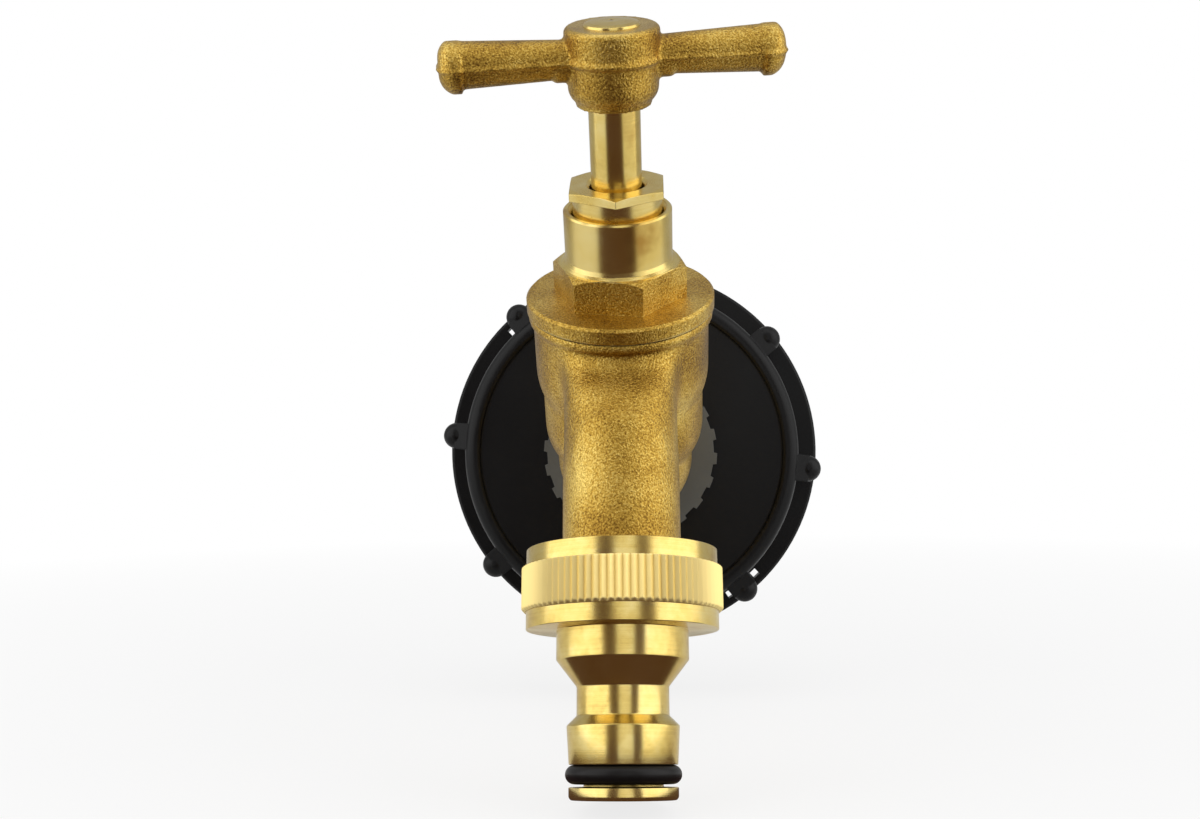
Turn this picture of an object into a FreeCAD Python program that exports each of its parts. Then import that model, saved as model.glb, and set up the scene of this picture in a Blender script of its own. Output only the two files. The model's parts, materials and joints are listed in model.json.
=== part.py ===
import FreeCAD, Part
import math, os

# Bib tap with a tee handle and a hose nipple, clamped through a tank cap.
# X is across the cap, Y is the inlet line pointing into the tank, Z is up.
# The origin is the middle of the cap's open end. All sizes are millimetres.

os.makedirs("parts", exist_ok=True)
V = FreeCAD.Vector

# ---- tank cap, heights from its open end --------------------------------
CAP_THREAD_R, CAP_THREAD_DEPTH = 30.0, 14.3     # 60 mm tank thread
CAP_SEAT_STEP = 0.8              # gasket seat stands in from the thread
GASKET_T, GASKET_W, GASKET_GAP, GASKET_SET = 2.8, 6.6, 0.1, 0.2
CAP_LAND_T, CAP_LAND_SHOW = 1.5, 0.5
CAP_WALL = 2.8                   # thickness of the flat face
CAP_RIM_DEPTH = 0.8              # flat face set back inside the rim
CAP_SKIRT_WALL, CAP_SKIRT_DRAFT = 3.6, 0.8
CAP_RIM_W, CAP_RIM_ROUND = 3.4, 2.4
CAP_FLANGE_W, CAP_FLANGE_T, CAP_FLANGE_EDGE = 5.6, 3.0, 0.5
CAP_HOLE_GAP = 0.32

CAP_SEAT_R = CAP_THREAD_R - CAP_SEAT_STEP
GASKET_R = CAP_SEAT_R - GASKET_GAP
GASKET_IN_R = GASKET_R - GASKET_W
GASKET_LOW = CAP_THREAD_DEPTH + GASKET_SET
CAP_LAND = GASKET_LOW + GASKET_T
CAP_LAND_IN_R = GASKET_IN_R - CAP_LAND_SHOW
CAP_INNER_FACE = CAP_LAND + CAP_LAND_T
CAP_FACE = CAP_INNER_FACE + CAP_WALL
CAP_DEPTH = CAP_FACE + CAP_RIM_DEPTH
CAP_SKIRT_R = CAP_THREAD_R + CAP_SKIRT_WALL
CAP_RIM_IN_R = CAP_SKIRT_R - CAP_RIM_W
CAP_FLANGE_R = CAP_SKIRT_R + CAP_FLANGE_W

# ---- grips round the cap, and the wire slits beside two of them ----------
GRIP_COUNT, GRIP_TURN = 8, -6.2  # first grip, degrees from +X
GRIP_R, GRIP_OUT = 2.65, 2.2     # the rod's middle lies outside the skirt
GRIP_FOOT, GRIP_DROP = 0.3, 1.8  # clear of the open end, and below the rim
GRIP_SHOULDER, GRIP_NOSE, GRIP_NOSE_DROP = 2.4, 5.2, 0.35
GRIP_SINK = 0.4                  # how far a nose runs into the rim
SLIT_GRIPS, SLIT_TURN = (7, 3), 5.3
SLIT_OUT, SLIT_L, SLIT_W = 2.5, 1.5, 1.5

# ---- rings and nut on the inlet tail --------------------------------------
INLET_BORE_R = 6.5
TAIL_WALL, TAIL_GAP, TAIL_LENGTH = 3.98, 0.07, 9.5    # half inch pipe thread
THREAD_CHAMFER = 0.8
RING_W, RING_T = 6.4, 2.4
RING_TEETH, RING_TURN, RING_TOOTH = 22, -5.1, 0.65
TOOTH_FOOT, TOOTH_TIP = 0.25, 0.22           # half widths as shares of the pitch
SEAL_W, SEAL_T = 3.95, 1.0
NUT_WALL, NUT_T, NUT_CHAMFER = 2.45, 3.3, 1.0

TAIL_R = INLET_BORE_R + TAIL_WALL
TAIL_HOLE_R = TAIL_R + TAIL_GAP
CAP_HOLE_R = TAIL_R + CAP_HOLE_GAP
RING_R = CAP_HOLE_R + RING_W
RING_FRONT = CAP_FACE + RING_T

# ---- lines of the tap ------------------------------------------------------
BOSS_LENGTH = 37.15      # ring to the headworks line, along the inlet line
SPOUT_OUT = 23.65        # from the headworks line to the spout line
LEAN = 30.0              # headworks line, leaning forward from upright
SPOUT_LEAN = 14.5        # spout line, leaning forward from straight down
HEAD_Y = -RING_FRONT - BOSS_LENGTH
SPOUT_Y = HEAD_Y - SPOUT_OUT

# ---- tap body, heights along the headworks line ------------------------------
BOSS_WALL, BOSS_DRAFT = 4.7, 0.8
CHAMBER_BORE_R, CHAMBER_WALL, CHAMBER_FLOOR = 10.3, 3.6, 9.0
LOBE_IN, LOBE_BOTTOM, LOBE_ROUND, LOBE_TOP = 0.92, -1.8, 9.0, 12.1
EDGE_IN, EDGE_STEP, EDGE_ROUND = 1.15, 0.3, 5.1       # lower edge of the chamber
BODY_TOP = 27.4
LIP_W, LIP_H, LIP_SLOPE = 0.35, 1.8, 0.25
SEAT_H, SEAT_R, SEAT_BORE_R = 1.4, 6.6, 5.0
RECESS_W, RECESS_DEPTH, RECESS_GAP = 2.3, 1.2, 0.05
PORT_STEP, PORT_WALL = 0.8, 1.6

CHAMBER_R = CHAMBER_BORE_R + CHAMBER_WALL
LOBE_R = CHAMBER_R - LOBE_IN
CHAMBER_EDGE = LOBE_TOP + EDGE_STEP
LIP_R = CHAMBER_R + LIP_W
SEAT_TOP = CHAMBER_FLOOR + SEAT_H
RECESS_R = CHAMBER_BORE_R + RECESS_W
BOSS_R = INLET_BORE_R + BOSS_WALL

# ---- tap body, spout side ------------------------------------------------------
TUBE_BORE_R, TUBE_WALL = 6.0, 2.7
TUBE_TOP, TUBE_END, OUTLET_LENGTH = -30.0, 15.2, 7.0
ROOT_DROP = 4.0          # crown of the spout root below the top of the body
ROOT_IN, ROOT_MID, ROOT_OUT = 0.9, (6.4, 1.25), (15.1, 7.0)
ROOT_BLEND, ROOT_BACK, ROOT_NEAR = 1.8, 12.85, 0.6
TUBE_BORE_TOP = -3.0
CROSS_R, CROSS_RISE, CROSS_SHORT = 5.0, 0.4, 5.25
OUTLET_STEP = 1.78       # half inch pipe thread stands out from the tube
CUT = 60.0               # reach of a tool that takes off all beyond it

TUBE_R = TUBE_BORE_R + TUBE_WALL
TUBE_CUT = BODY_TOP - ROOT_DROP
OUTLET_R = TUBE_R + OUTLET_STEP
OUTLET_END = TUBE_END + OUTLET_LENGTH

# ---- spindle below the handle -----------------------------------------------------
LIFT, LIFT_ROOM = 5.0, 0.4       # full opening of the valve
SPINDLE_R, GUIDE_GAP = 3.84, 0.06
SCREW_STEP, SCREW_GAP, SCREW_IN, SCREW_LENGTH, SCREW_END = 1.36, 0.07, 0.6, 8.2, 0.6
PLUG_STEP, PLUG_EDGE = 0.6, 0.5
SQUARE_IN, SQUARE_GAP, SQUARE_SINK = 0.03, 0.04, 0.5
HEAD_STEP, HEAD_T, HEAD_DOME, HEAD_EDGE = 0.31, 0.35, 0.35, 0.25
STEM_GAP, STEM_ROOM = 0.05, 0.6

SCREW_R = SPINDLE_R + SCREW_STEP
SQUARE_AF = SPINDLE_R * math.sqrt(2) - SQUARE_IN

# ---- bonnet and gland, stacked on the top of the body --------------------------------
BONNET_IN, BONNET_FIT = 7.0, 0.1
FLANGE_OVER, FLANGE_T, FLANGE_EDGE, FLANGE_FOOT = 0.55, 2.55, 0.4, 0.25
BONNET_HEX_T, BONNET_HEX_TURN, BONNET_HEX_CHAMFER = 5.35, -9.5, 0.9
NECK_WALL, NECK_LENGTH, NECK_EDGE, HEX_OVER = 1.28, 8.5, 0.25, 0.12
NECK_FOOT, NECK_FOOT_LOW, NECK_FOOT_H = 0.75, (0.2, 0.35), 1.0
GLAND_BORE_R, GUIDE_LENGTH = 7.05, 2.8
GLAND_CHAMFER, GLAND_CHAMFER_DROP = 0.5, 0.1
WASHER_GAP = 0.15
GLAND_AF, GLAND_GAP, GLAND_T, GLAND_EDGE = 14.1, 2.45, 1.35, 0.3
GLAND_SHANK_GAP, GLAND_IN = 0.2, 2.5
GLAND_HOLE_GAP, GLAND_MOUTH = 0.36, 0.5
PACK_WASHER_T, PACK_WASHER_GAP, PACK_GAP = 0.8, 0.1, 0.05

BONNET_BOTTOM = BODY_TOP - BONNET_IN
BONNET_THREAD_R = CHAMBER_BORE_R - BONNET_FIT
FLANGE_R, FLANGE_TOP = LIP_R + FLANGE_OVER, BODY_TOP + FLANGE_T
BONNET_HEX_TOP = FLANGE_TOP + BONNET_HEX_T
NECK_R, NECK_TOP = GLAND_BORE_R + NECK_WALL, BONNET_HEX_TOP + NECK_LENGTH
BONNET_AF = 2 * (NECK_R + NECK_FOOT + HEX_OVER)
SCREW_BOTTOM = BONNET_BOTTOM + SCREW_IN
SCREW_TOP = SCREW_BOTTOM + SCREW_LENGTH
SCREW_ROOF = SCREW_TOP + LIFT + LIFT_ROOM
GLAND_FLOOR = SCREW_ROOF + GUIDE_LENGTH
GLAND_UNDER = NECK_TOP + GLAND_GAP
GLAND_TOP = GLAND_UNDER + GLAND_T
GLAND_SHANK_END = NECK_TOP - GLAND_IN
GLAND_HOLE_R = SPINDLE_R + GLAND_HOLE_GAP

# ---- jumper on the valve seat ------------------------------------------------------------
DISC_GAP, DISC_T, DISC_EDGE = 2.4, 1.8, 0.4      # clear of the chamber wall
RUBBER_IN, RUBBER_T = 0.4, 2.2
STEM_R, STEM_LENGTH = 2.3, 6.0
STUD_R, STUD_LENGTH, STUD_EDGE, STUD_GAP = 1.75, 4.4, 0.3, 0.05
LOCK_AF, LOCK_T, LOCK_CHAMFER = 6.4, 1.7, 0.4

DISC_R = CHAMBER_BORE_R - DISC_GAP
DISC_LOW = SEAT_TOP + RUBBER_T
DISC_TOP = DISC_LOW + DISC_T

# ---- tee handle -------------------------------------------------------------------------------
HANDLE_TURN = 7.4        # left arm forward of straight across
SPINDLE_SHOW = 12.0      # spindle between the gland and the hub
HUB_H, ARM_RISE = 11.3, 6.8
HUB_FOOT_R, HUB_FOOT_H, HUB_ROUND = 5.6, 0.7, 2.1
HUB_LOW_R, HUB_BAND_R, HUB_BAND_H, HUB_TOP_R, HUB_EDGE = 6.65, 7.08, 0.42, 6.92, 0.5
BAND_SLOPE = 0.05
ARM_FROM, ARM_LENGTH = 4.5, 25.0
ARM_ROOT = (2.7, 2.65, 3.0)      # up, down and half depth of the arm section
ARM_TIP, ARM_TIP_AT = (3.45, 3.3, 3.7), 22.2
BULB, BULB_AT, BULB_ROUND, BULB_OVER = (3.55, 3.9, 4.0), 21.8, 2.8, 0.15
KNUCKLE, KNUCKLE_AT = (2.4, 3.2, 3.1), 8.5

SHOULDER = GLAND_TOP + SPINDLE_SHOW
HUB_TOP = SHOULDER + HUB_H
ARM_LEVEL = SHOULDER + ARM_RISE

# ---- hose connector, lengths down the spout line --------------------------------------------------
CWASHER_T, CWASHER_GAP, CWASHER_OVER = 1.8, 0.2, 0.6
CONN_FIT, CONN_WALL, CONN_SOCKET, CONN_EDGE = 0.12, 3.36, 9.6, 0.3
KNURL_DROP, KNURL_LENGTH, KNURL_OUT, KNURL_EDGE = 2.6, 6.4, 0.69, 0.4
LOW_RING_T = 2.5
NECK2_R, NECK2_LENGTH, NECK2_FOOT = 9.54, 4.2, (0.35, 0.5)
NIPPLE_BORE_R, WAIST_WALL = 4.4, 2.2
WAIST_CONE, WAIST_LENGTH = 3.75, 4.0
COLLAR_CONE, COLLAR_LENGTH, COLLAR_R, COLLAR_DRAFT = 1.4, 5.3, 8.03, 0.33
GROOVE_WALL, GROOVE_W, ORING_R = 1.2, 3.0, 1.31
END_R, END_T, END_ROUND = 7.72, 1.75, 0.45

CONN_FLOOR = OUTLET_END + CWASHER_T
CONN_BORE_R = OUTLET_R + CONN_FIT
CONN_R = CONN_BORE_R + CONN_WALL
KNURL_R = CONN_R + KNURL_OUT
WAIST_R = NIPPLE_BORE_R + WAIST_WALL
GROOVE_R = NIPPLE_BORE_R + GROOVE_WALL


def line(a, b):
    return Part.LineSegment(V(a[0], 0, a[1]), V(b[0], 0, b[1])).toShape()


def arc(a, m, b):
    return Part.Arc(V(a[0], 0, a[1]), V(m[0], 0, m[1]), V(b[0], 0, b[1])).toShape()


def upright(a, b):
    """Arc from a that meets an upright wall at b."""
    d, h = b[0] - a[0], b[1] - a[1]
    rho = (d * d + h * h) / (2 * d)
    half = math.asin(max(-1.0, min(1.0, h / rho))) / 2
    return arc(a, (b[0] - rho + rho * math.cos(half), b[1] - rho * math.sin(half)), b)


def rev_edges(edges):
    """Solid of revolution about Z from a closed outline in the XZ plane."""
    solid = Part.Face(Part.Wire(edges)).revolve(V(0, 0, 0), V(0, 0, 1), 360)
    if solid.Volume < 0:
        solid.reverse()
    return solid


def lines(points):
    return [line(a, b) for a, b in zip(points, points[1:])]


def rev(points):
    """Solid of revolution about Z from (radius, height) points."""
    return rev_edges(lines(points + points[:1]))


def cyl(r, z0, z1):
    return Part.makeCylinder(r, z1 - z0, V(0, 0, z0))


def ring(r, r_in, z0, z1):
    return cyl(r, z0, z1).cut(cyl(r_in, z0 - 1, z1 + 1))


def threaded_end(r, z0, z1, two_ended):
    """Plain round end of a thread, chamfered at the top and, if asked, below."""
    c = THREAD_CHAMFER
    low = [(r - c, z0), (r, z0 + c)]
    top = [(r, z1 - c), (r - c, z1)] if two_ended else [(r, z1)]
    return rev([(0, z0)] + low + top + [(0, z1)])


def prism(n, flats, z0, z1, turn=0.0):
    """Regular prism; one flat faces -Y when turn is zero."""
    rad = flats / 2 / math.cos(math.pi / n)
    step = 2 * math.pi / n
    first = math.radians(turn) - math.pi / 2 + step / 2
    pts = [V(rad * math.cos(first + i * step), rad * math.sin(first + i * step), z0)
           for i in range(n + 1)]
    return Part.Face(Part.makePolygon(pts)).extrude(V(0, 0, z1 - z0))


def chamfered_prism(n, flats, z0, z1, turn, drop_top, drop_low):
    """Prism whose corners are turned off at the top and the underside."""
    flat = flats / 2
    corner = flat / math.cos(math.pi / n) + 0.1
    low = (flat + 0.1, z0) if drop_low else (corner + 1, z0)
    top = (flat + 0.1, z1) if drop_top else (corner + 1, z1)
    tool = rev([(0, z0), low, (corner, z0 + drop_low), (corner, z1 - drop_top), top, (0, z1)])
    return prism(n, flats, z0, z1, turn).common(tool)


def on_inlet(s):
    """Local Z becomes the line out of the cap towards the front."""
    s = s.copy()
    s.rotate(V(0, 0, 0), V(1, 0, 0), 90)
    return s


def on_head(s):
    s = s.copy()
    s.rotate(V(0, 0, 0), V(1, 0, 0), LEAN)
    s.translate(V(0, HEAD_Y, 0))
    return s


def on_spout(s):
    s = s.copy()
    s.rotate(V(0, 0, 0), V(1, 0, 0), 180 - SPOUT_LEAN)
    s.translate(V(0, SPOUT_Y, 0))
    return s


def head_place(p):
    """Distance from the headworks line, and height along it."""
    up = V(0, -math.sin(math.radians(LEAN)), math.cos(math.radians(LEAN)))
    d = p - V(0, HEAD_Y, 0)
    return (d - up * d.dot(up)).Length, d.dot(up)


def save(name, shape):
    if shape.ShapeType == "Compound" and len(shape.Solids) == 1:
        shape = shape.Solids[0]
    shape.exportStep("parts/%s.step" % name)


# ---- tank cap: threaded skirt, flange, rounded rim and grips --------------
rim_mid = CAP_DEPTH - CAP_RIM_ROUND
rim_top = (CAP_SKIRT_R - CAP_RIM_ROUND, CAP_DEPTH)
rim_in = (CAP_RIM_IN_R + CAP_RIM_DEPTH, CAP_DEPTH)
edge = CAP_FLANGE_EDGE
skirt = rev_edges(lines([
    (CAP_THREAD_R, 0), (CAP_FLANGE_R - edge, 0), (CAP_FLANGE_R, edge),
    (CAP_FLANGE_R, CAP_FLANGE_T - edge), (CAP_FLANGE_R - edge, CAP_FLANGE_T),
    (CAP_SKIRT_R + CAP_SKIRT_DRAFT, CAP_FLANGE_T), (CAP_SKIRT_R, rim_mid)])
    + [upright(rim_top, (CAP_SKIRT_R, rim_mid)), line(rim_top, rim_in),
       upright(rim_in, (CAP_RIM_IN_R, CAP_FACE))] + lines([
    (CAP_RIM_IN_R, CAP_FACE), (CAP_HOLE_R, CAP_FACE), (CAP_HOLE_R, CAP_INNER_FACE),
    (CAP_LAND_IN_R, CAP_INNER_FACE), (CAP_LAND_IN_R, CAP_LAND), (CAP_SEAT_R, CAP_LAND),
    (CAP_SEAT_R, CAP_THREAD_DEPTH), (CAP_THREAD_R, CAP_THREAD_DEPTH), (CAP_THREAD_R, 0)]))
inside = cyl(CAP_RIM_IN_R + GRIP_SINK, -1, CAP_DEPTH + 1)
for i in range(GRIP_COUNT):
    top = CAP_DEPTH - GRIP_DROP
    rod = cyl(GRIP_R, GRIP_FOOT, top - GRIP_R)
    rod = rod.fuse(Part.makeSphere(GRIP_R, V(0, 0, top - GRIP_R)))
    wedge = Part.Face(Part.makePolygon([
        V(0, -GRIP_R, GRIP_FOOT), V(-GRIP_SHOULDER, -GRIP_R, GRIP_FOOT),
        V(-GRIP_NOSE, 0, GRIP_FOOT), V(-GRIP_SHOULDER, GRIP_R, GRIP_FOOT),
        V(0, GRIP_R, GRIP_FOOT), V(0, -GRIP_R, GRIP_FOOT)])).extrude(V(0, 0, CAP_DEPTH))
    nose = Part.Face(Part.makePolygon([
        V(0, 0, 0), V(0, 0, top - GRIP_NOSE_DROP),
        V(-GRIP_NOSE, 0, CAP_DEPTH - GRIP_NOSE_DROP), V(-GRIP_NOSE, 0, 0),
        V(0, 0, 0)])).extrude(V(0, 2 * GRIP_R, 0))
    nose.translate(V(0, -GRIP_R, 0))
    rod = rod.fuse(wedge.common(nose))
    rod.translate(V(CAP_SKIRT_R + GRIP_OUT, 0, 0))
    rod = rod.cut(inside)
    rod.rotate(V(0, 0, 0), V(0, 0, 1), GRIP_TURN + i * 360.0 / GRIP_COUNT)
    skirt = skirt.fuse(rod)
for g in SLIT_GRIPS:
    for side in (-1, 1):
        slit = Part.makeBox(SLIT_L, SLIT_W, CAP_FLANGE_T + 2)
        slit.translate(V(CAP_SKIRT_R + SLIT_OUT, -SLIT_W / 2, -1))
        slit.rotate(V(0, 0, 0), V(0, 0, 1),
                    GRIP_TURN + g * 360.0 / GRIP_COUNT + side * SLIT_TURN)
        skirt = skirt.cut(slit)
save("ibc_cap", on_inlet(skirt.removeSplitter()))

# ---- sealing ring at the bottom of the cap --------------------------------
save("cap_gasket", on_inlet(ring(GASKET_R, GASKET_IN_R, GASKET_LOW, CAP_LAND)))

# ---- serrated grey ring between the cap face and the tap -------------------
pts = []
step = 2 * math.pi / RING_TEETH
for i in range(RING_TEETH):
    mid = math.radians(RING_TURN) + i * step
    for r, a in ((RING_R - RING_TOOTH, -TOOTH_FOOT), (RING_R, -TOOTH_TIP),
                 (RING_R, TOOTH_TIP), (RING_R - RING_TOOTH, TOOTH_FOOT)):
        pts.append(V(r * math.cos(mid + a * step), r * math.sin(mid + a * step), CAP_FACE))
star = Part.Face(Part.makePolygon(pts + [pts[0]])).extrude(V(0, 0, RING_T))
save("front_ring", on_inlet(star.cut(cyl(CAP_HOLE_R, CAP_FACE - 1, RING_FRONT + 1))))

# ---- seal and backnut behind the cap wall ----------------------------------
seal_low = CAP_INNER_FACE - SEAL_T
save("tail_seal", on_inlet(ring(TAIL_HOLE_R + SEAL_W, TAIL_HOLE_R, seal_low,
                                CAP_INNER_FACE)))
nut = chamfered_prism(6, 2 * (TAIL_HOLE_R + NUT_WALL), seal_low - NUT_T, seal_low,
                      0, 0, NUT_CHAMFER)
save("backnut", on_inlet(nut.cut(cyl(TAIL_HOLE_R, 0, CAP_DEPTH))))

# ---- tap body: inlet boss, headworks chamber and the lobe under it -----------
boss = on_inlet(rev([(0, RING_FRONT), (BOSS_R + BOSS_DRAFT, RING_FRONT), (BOSS_R, -HEAD_Y),
                     (0, -HEAD_Y)]))
boss = boss.fuse(Part.makeSphere(BOSS_R, V(0, HEAD_Y, 0)))
tail = on_inlet(threaded_end(TAIL_R, RING_FRONT - TAIL_LENGTH, RING_FRONT + 1, False))
lobe_low = (LOBE_R - LOBE_ROUND, LOBE_BOTTOM)
lobe_side = (LOBE_R, LOBE_BOTTOM + LOBE_ROUND)
edge_low = (CHAMBER_R - EDGE_IN, CHAMBER_EDGE)
edge_top = (CHAMBER_R, CHAMBER_EDGE + EDGE_ROUND)
lip = BODY_TOP - LIP_H
head = on_head(rev_edges(
    [line((0, LOBE_BOTTOM), lobe_low), upright(lobe_low, lobe_side),
     line(lobe_side, (LOBE_R, LOBE_TOP)), line((LOBE_R, LOBE_TOP), edge_low),
     upright(edge_low, edge_top)] + lines([
         edge_top, (CHAMBER_R, lip), (LIP_R, lip + LIP_SLOPE), (LIP_R, BODY_TOP),
         (0, BODY_TOP), (0, LOBE_BOTTOM)])))

# ---- tap body: spout, its shoulder against the chamber, and the outlet --------
tube = on_spout(cyl(TUBE_R, TUBE_TOP, TUBE_END + 1))
crown = (CHAMBER_R - ROOT_IN, TUBE_CUT)
over_mid = (CHAMBER_R + ROOT_MID[0], TUBE_CUT - ROOT_MID[1])
over_end = (CHAMBER_R + ROOT_OUT[0], TUBE_CUT - ROOT_OUT[1])
over = on_head(rev_edges([line((0, TUBE_CUT), crown), arc(crown, over_mid, over_end)] + lines([
    over_end, (CUT, over_end[1]), (CUT, CUT), (0, CUT), (0, TUBE_CUT)])))
tube = tube.cut(over)
outlet = on_spout(threaded_end(OUTLET_R, TUBE_END, OUTLET_END, True))
body = head.fuse(tube).removeSplitter()
root = []
for e in body.Edges:
    at = e.valueAt((e.FirstParameter + e.LastParameter) / 2)
    r, h = head_place(at)
    if e.Curve.TypeId == "Part::GeomBSplineCurve" and at.y < HEAD_Y - ROOT_BACK \
            and abs(r - CHAMBER_R) < ROOT_NEAR and CHAMBER_EDGE < h < TUBE_CUT + ROOT_NEAR:
        root.append(e)
body = body.makeFillet(ROOT_BLEND, root)
body = body.fuse(boss).removeSplitter()
body = body.fuse([tail, outlet])

# ---- tap body: waterway, valve seat and the bonnet's seat ----------------------
seat = on_head(ring(SEAT_R, SEAT_BORE_R, CHAMBER_FLOOR - 1, SEAT_TOP))
chamber = on_head(cyl(CHAMBER_BORE_R, CHAMBER_FLOOR, BODY_TOP + 1))
inlet = on_inlet(cyl(INLET_BORE_R, RING_FRONT - TAIL_LENGTH - 1, -HEAD_Y)).fuse(
    Part.makeSphere(INLET_BORE_R, V(0, HEAD_Y, 0)))
port = on_head(cyl(SEAT_BORE_R + PORT_STEP, 0, CHAMBER_FLOOR - PORT_WALL)).fuse(
    on_head(cyl(SEAT_BORE_R, 0, CHAMBER_FLOOR + 1)))
way = on_spout(cyl(TUBE_BORE_R, TUBE_BORE_TOP, OUTLET_END + 1)).fuse(
    on_spout(Part.makeSphere(TUBE_BORE_R, V(0, 0, TUBE_BORE_TOP))))
cross_at = V(0, 0, CHAMBER_FLOOR + CROSS_R + CROSS_RISE)
way = way.fuse(on_head(Part.makeCylinder(CROSS_R, SPOUT_OUT - CROSS_SHORT, cross_at,
                                         V(0, -1, 0))))
recess = on_head(cyl(RECESS_R, BODY_TOP - RECESS_DEPTH, BODY_TOP + 1))
body = body.cut(chamber).cut(way).cut(inlet).cut(port).cut(recess).fuse(seat).removeSplitter()
save("tap_body", body)

# ---- bonnet and its washer ---------------------------------------------------
c = THREAD_CHAMFER
shell = rev([(0, BONNET_BOTTOM), (BONNET_THREAD_R - c, BONNET_BOTTOM),
             (BONNET_THREAD_R, BONNET_BOTTOM + c), (BONNET_THREAD_R, BODY_TOP),
             (FLANGE_R - FLANGE_FOOT, BODY_TOP), (FLANGE_R, BODY_TOP + FLANGE_FOOT),
             (FLANGE_R, FLANGE_TOP - FLANGE_EDGE), (FLANGE_R - FLANGE_EDGE, FLANGE_TOP),
             (0, FLANGE_TOP)])
hexa = chamfered_prism(6, BONNET_AF, FLANGE_TOP - FLANGE_EDGE, BONNET_HEX_TOP,
                       BONNET_HEX_TURN, BONNET_HEX_CHAMFER, 0)
neck = rev([(0, BONNET_HEX_TOP - 1), (NECK_R + NECK_FOOT, BONNET_HEX_TOP - 1),
            (NECK_R + NECK_FOOT, BONNET_HEX_TOP),
            (NECK_R + NECK_FOOT_LOW[0], BONNET_HEX_TOP + NECK_FOOT_LOW[1]),
            (NECK_R, BONNET_HEX_TOP + NECK_FOOT_H), (NECK_R, NECK_TOP - NECK_EDGE),
            (NECK_R - NECK_EDGE, NECK_TOP), (0, NECK_TOP)])
bonnet = shell.fuse([hexa, neck]).removeSplitter()
mouth = NECK_TOP - GLAND_CHAMFER_DROP
bonnet = bonnet.cut(rev([(0, GLAND_FLOOR), (GLAND_BORE_R, GLAND_FLOOR),
                         (GLAND_BORE_R, mouth - GLAND_CHAMFER),
                         (GLAND_BORE_R + GLAND_CHAMFER, mouth),
                         (GLAND_BORE_R + GLAND_CHAMFER, NECK_TOP + 1), (0, NECK_TOP + 1)]))
bonnet = bonnet.cut(cyl(SPINDLE_R + GUIDE_GAP, BONNET_BOTTOM, GLAND_FLOOR + 1))
bonnet = bonnet.cut(cyl(SCREW_R + SCREW_GAP, BONNET_BOTTOM - 1, SCREW_ROOF))
save("bonnet", on_head(bonnet))
save("bonnet_washer", on_head(ring(RECESS_R - RECESS_GAP, BONNET_THREAD_R + WASHER_GAP,
                                   BODY_TOP - RECESS_DEPTH, BODY_TOP)))

# ---- gland: washer, packing and nut -------------------------------------------
pack_low = GLAND_FLOOR + PACK_WASHER_T
save("packing_washer", on_head(ring(GLAND_BORE_R - PACK_WASHER_GAP,
                                    SPINDLE_R + 2 * PACK_WASHER_GAP, GLAND_FLOOR, pack_low)))
save("gland_packing", on_head(ring(GLAND_BORE_R - PACK_GAP, SPINDLE_R + PACK_GAP,
                                   pack_low, GLAND_SHANK_END)))
gland = chamfered_prism(6, GLAND_AF, GLAND_UNDER, GLAND_TOP, 30, GLAND_EDGE, 0)
gland = gland.fuse(cyl(GLAND_BORE_R - GLAND_SHANK_GAP, GLAND_SHANK_END,
                       GLAND_UNDER + GLAND_EDGE)).removeSplitter()
gland = gland.cut(cyl(GLAND_HOLE_R, GLAND_SHANK_END - 1, GLAND_TOP + 1))
gland = gland.cut(rev([(0, GLAND_TOP - GLAND_MOUTH), (GLAND_HOLE_R, GLAND_TOP - GLAND_MOUTH),
                       (GLAND_HOLE_R + GLAND_MOUTH, GLAND_TOP), (0, GLAND_TOP)]))
save("gland_nut", on_head(gland))

# ---- jumper with its rubber and lock nut ----------------------------------------
stud_low, stem_top = DISC_LOW - STUD_LENGTH, DISC_TOP + STEM_LENGTH
jumper = rev([(0, stud_low), (STUD_R - STUD_EDGE, stud_low), (STUD_R, stud_low + STUD_EDGE),
              (STUD_R, DISC_LOW), (DISC_R, DISC_LOW), (DISC_R, DISC_TOP - DISC_EDGE),
              (DISC_R - DISC_EDGE, DISC_TOP), (STEM_R, DISC_TOP),
              (STEM_R, stem_top - DISC_EDGE), (STEM_R - DISC_EDGE, stem_top), (0, stem_top)])
save("jumper", on_head(jumper))
save("jumper_washer", on_head(ring(DISC_R - RUBBER_IN, STUD_R + STUD_GAP, SEAT_TOP,
                                   DISC_LOW)))
lock = chamfered_prism(6, LOCK_AF, SEAT_TOP - LOCK_T, SEAT_TOP, 0, 0, LOCK_CHAMFER)
save("jumper_nut", on_head(lock.cut(cyl(STUD_R + STUD_GAP, 0, SEAT_TOP + 1))))

# ---- spindle: screw, shank, square drive and peened head -------------------------
plug_r = SCREW_R - PLUG_STEP
spindle = rev([(0, DISC_TOP), (plug_r - PLUG_EDGE, DISC_TOP), (plug_r, DISC_TOP + PLUG_EDGE),
               (plug_r, SCREW_BOTTOM), (SCREW_R, SCREW_BOTTOM + SCREW_END),
               (SCREW_R, SCREW_TOP - SCREW_END), (SPINDLE_R, SCREW_TOP),
               (SPINDLE_R, SHOULDER), (0, SHOULDER)])
square = prism(4, SQUARE_AF, SHOULDER - SQUARE_SINK, HUB_TOP + HEAD_T / 2, HANDLE_TURN)
peen_r, peen_top = SPINDLE_R + HEAD_STEP, HUB_TOP + HEAD_T
peen = rev([(0, HUB_TOP), (peen_r, HUB_TOP), (peen_r - HEAD_EDGE, peen_top),
            (peen_r * 3 / 4, peen_top + HEAD_DOME / 2),
            (peen_r / 3, peen_top + HEAD_DOME), (0, peen_top + HEAD_DOME)])
spindle = spindle.fuse([square, peen])
spindle = spindle.cut(cyl(STEM_R + STEM_GAP, DISC_TOP - 1, stem_top + STEM_ROOM))
save("spindle", on_head(spindle))


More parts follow.
